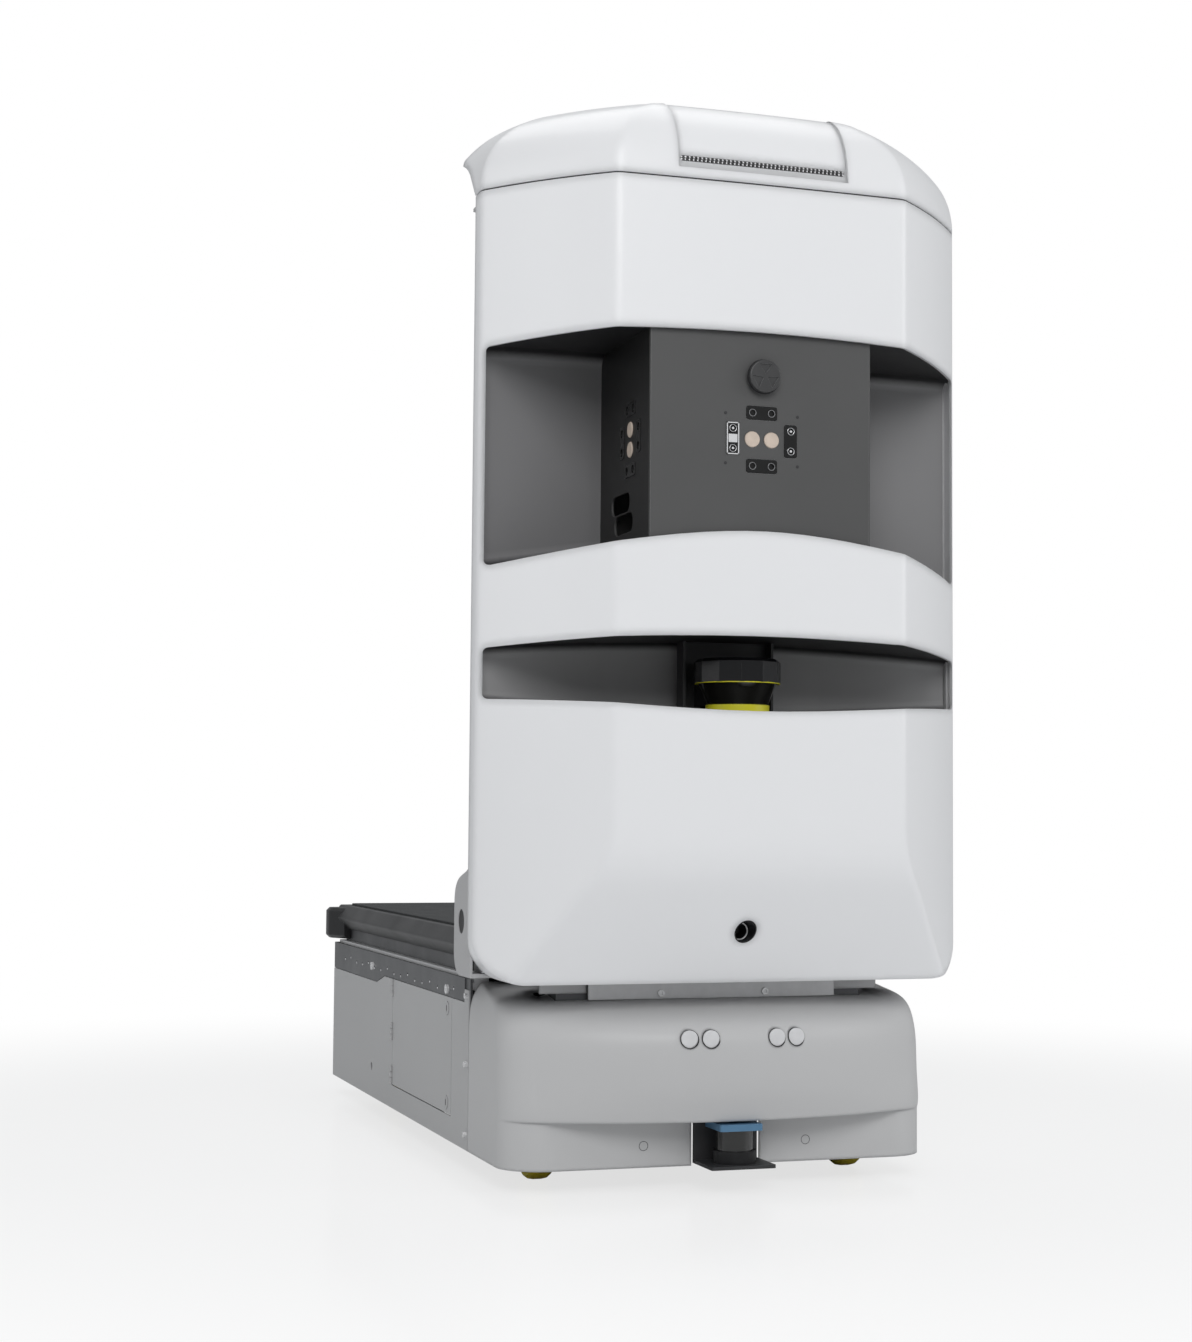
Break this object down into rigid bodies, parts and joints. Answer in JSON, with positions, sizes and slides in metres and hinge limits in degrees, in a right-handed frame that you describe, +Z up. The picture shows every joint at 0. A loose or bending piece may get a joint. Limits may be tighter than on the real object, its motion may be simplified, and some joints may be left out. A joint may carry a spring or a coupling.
{
  "type": "autonomous mobile robot",
  "caption": "Wheeled transport robot: upright sensor tower with recessed scanners and stop button in front, low lifting deck on drive wheels and swivel casters behind.",
  "frame": {"origin": "on the floor, under the middle of the robot's overall length and width", "axes": "+Z up, +X to the right seen from the front, -Y forwards (the tower's front)"},
  "size_m": [0.63, 1.2546, 1.3177],
  "materials": {
    "shell_white": "smooth, satin to gloss",
    "recess_grey": "satin",
    "block_grey": "satin",
    "black_plastic": "matte",
    "seal_black": "matte",
    "grille_black": "matte, perforated",
    "stop_dark": "smooth",
    "stem_steel": "turned",
    "disc_tan": "matte, fine mesh",
    "disc_silver": "fine mesh",
    "hood_black": "smooth",
    "module_black": "smooth",
    "light_lens": "frosted",
    "bracket_dark": "satin",
    "scanner_yellow": "smooth",
    "smoked_window": "clear dark",
    "tube_chrome": "polished",
    "frame_grey": "fine textured",
    "cover_grey": "fine textured",
    "screen_glass": "smooth",
    "computer_alu": "anodised",
    "fairing_grey": "fine textured",
    "zinc_plate": "zinc plated",
    "panel_grey": "fine textured",
    "rail_grey": "satin",
    "bright_alu": "drawn",
    "mount_blue": "anodised",
    "screw_steel": "turned",
    "tray_black": "satin, moulded",
    "mat_black": "ribbed",
    "dark_steel": "satin",
    "battery_black": "moulded",
    "motor_grey": "cast",
    "drive_rubber": "rubber tread",
    "caster_steel": "zinc plated",
    "caster_yellow": "polyurethane"
  },
  "bodies": {
    "base": {"front_shell": "shell_white", "cap_gasket": "seal_black", "top_cap": "shell_white", "cap_grille": "grille_black", "speaker": "black_plastic", "upper_liner": "recess_grey", "sensor_block": "block_grey", "stop_collar": "black_plastic", "sensor_discs": "disc_tan", "sensor_modules": "module_black", "sensor_board": "dark_steel", "lower_liner": "recess_grey", "light_strips": "light_lens", "scanner_bracket": "bracket_dark", "scanner_ring": "scanner_yellow", "scanner_window": "smoked_window", "scanner_hood": "hood_black", "port_sleeve": "black_plastic", "port_tube": "tube_chrome", "tower_frame": "frame_grey", "plate_plugs": "black_plastic", "rear_cover": "cover_grey", "touch_screen": "screen_glass", "computer": "computer_alu", "chassis": "rail_grey", "front_fairing": "fairing_grey", "sonar_discs": "disc_silver", "strap_plate": "zinc_plate", "lidar_plate": "bracket_dark", "lidar_body": "black_plastic", "lidar_window": "smoked_window", "lidar_mount": "mount_blue", "side_panel_left": "panel_grey", "side_panel_right": "panel_grey", "side_beams": "bright_alu", "panel_screws": "screw_steel", "rear_panel": "panel_grey", "battery": "battery_black", "lift_columns": "motor_grey", "drive_motors": "motor_grey", "caster_plates": "caster_steel"},
    "stop_stem": {"stop_stem": "stem_steel"},
    "stop_head": {"stop_head": "stop_dark"},
    "service_door": {"service_door": "panel_grey"},
    "latch_upper": {"latch_upper": "black_plastic"},
    "latch_lower": {"latch_lower": "black_plastic"},
    "deck": {"deck_tray": "tray_black", "deck_mat": "mat_black", "deck_frame": "dark_steel", "lift_rams": "stem_steel"},
    "drive_wheel_left": {"drive_wheel_left": "drive_rubber"},
    "drive_wheel_right": {"drive_wheel_right": "drive_rubber"},
    "caster_fork_front_left": {"caster_fork_front_left": "caster_steel"},
    "caster_wheel_front_left": {"caster_wheel_front_left": "caster_yellow"},
    "caster_fork_front_right": {"caster_fork_front_right": "caster_steel"},
    "caster_wheel_front_right": {"caster_wheel_front_right": "caster_yellow"},
    "caster_fork_rear_left": {"caster_fork_rear_left": "caster_steel"},
    "caster_wheel_rear_left": {"caster_wheel_rear_left": "caster_yellow"},
    "caster_fork_rear_right": {"caster_fork_rear_right": "caster_steel"},
    "caster_wheel_rear_right": {"caster_wheel_rear_right": "caster_yellow"}
  },
  "joints": [
    {"name": "deck_lift", "type": "slide", "parent": "base", "child": "deck", "axis": [0, 0, 1], "range_m": [0, 0.05]},
    {"name": "stop_push", "type": "slide", "parent": "base", "child": "stop_stem", "axis": [0, 1, 0], "range_m": [0, 0.004], "stiffness_N_per_m": 1000, "springref_m": -0.002},
    {"name": "stop_twist", "type": "hinge", "parent": "stop_stem", "child": "stop_head", "pos_m": [0, -0.61975, 0.973], "axis": [0, 1, 0], "range_deg": [0, 30], "stiffness_Nm_per_rad": 0.2, "springref_deg": -5.73},
    {"name": "door_hinge", "type": "hinge", "parent": "base", "child": "service_door", "pos_m": [-0.2766, 0.149, 0.13], "axis": [0, 0, 1], "range_deg": [-110, 0]},
    {"name": "latch_upper_turn", "type": "hinge", "parent": "service_door", "child": "latch_upper", "pos_m": [-0.275, -0.19075, 0.196], "axis": [1, 0, 0], "range_deg": [0, 90]},
    {"name": "latch_lower_turn", "type": "hinge", "parent": "service_door", "child": "latch_lower", "pos_m": [-0.275, -0.19075, 0.074], "axis": [1, 0, 0], "range_deg": [0, 90]},
    {"name": "drive_left_spin", "type": "hinge", "parent": "base", "child": "drive_wheel_left", "pos_m": [-0.213, 0.20625, 0.075], "axis": [1, 0, 0], "continuous": true},
    {"name": "drive_right_spin", "type": "hinge", "parent": "base", "child": "drive_wheel_right", "pos_m": [0.213, 0.20625, 0.075], "axis": [1, 0, 0], "continuous": true},
    {"name": "caster_front_left_swivel", "type": "hinge", "parent": "base", "child": "caster_fork_front_left", "pos_m": [-0.206, -0.40075, 0.083], "axis": [0, 0, 1], "continuous": true},
    {"name": "caster_front_left_roll", "type": "hinge", "parent": "caster_fork_front_left", "child": "caster_wheel_front_left", "pos_m": [-0.206, -0.38075, 0.0375], "axis": [1, 0, 0], "continuous": true},
    {"name": "caster_front_right_swivel", "type": "hinge", "parent": "base", "child": "caster_fork_front_right", "pos_m": [0.206, -0.40075, 0.083], "axis": [0, 0, 1], "continuous": true},
    {"name": "caster_front_right_roll", "type": "hinge", "parent": "caster_fork_front_right", "child": "caster_wheel_front_right", "pos_m": [0.206, -0.38075, 0.0375], "axis": [1, 0, 0], "continuous": true},
    {"name": "caster_rear_left_swivel", "type": "hinge", "parent": "base", "child": "caster_fork_rear_left", "pos_m": [-0.21, 0.37025, 0.083], "axis": [0, 0, 1], "continuous": true},
    {"name": "caster_rear_left_roll", "type": "hinge", "parent": "caster_fork_rear_left", "child": "caster_wheel_rear_left", "pos_m": [-0.21, 0.39025, 0.0375], "axis": [1, 0, 0], "continuous": true},
    {"name": "caster_rear_right_swivel", "type": "hinge", "parent": "base", "child": "caster_fork_rear_right", "pos_m": [0.21, 0.37025, 0.083], "axis": [0, 0, 1], "continuous": true},
    {"name": "caster_rear_right_roll", "type": "hinge", "parent": "caster_fork_rear_right", "child": "caster_wheel_rear_right", "pos_m": [0.21, 0.39025, 0.0375], "axis": [1, 0, 0], "continuous": true}
  ]
}
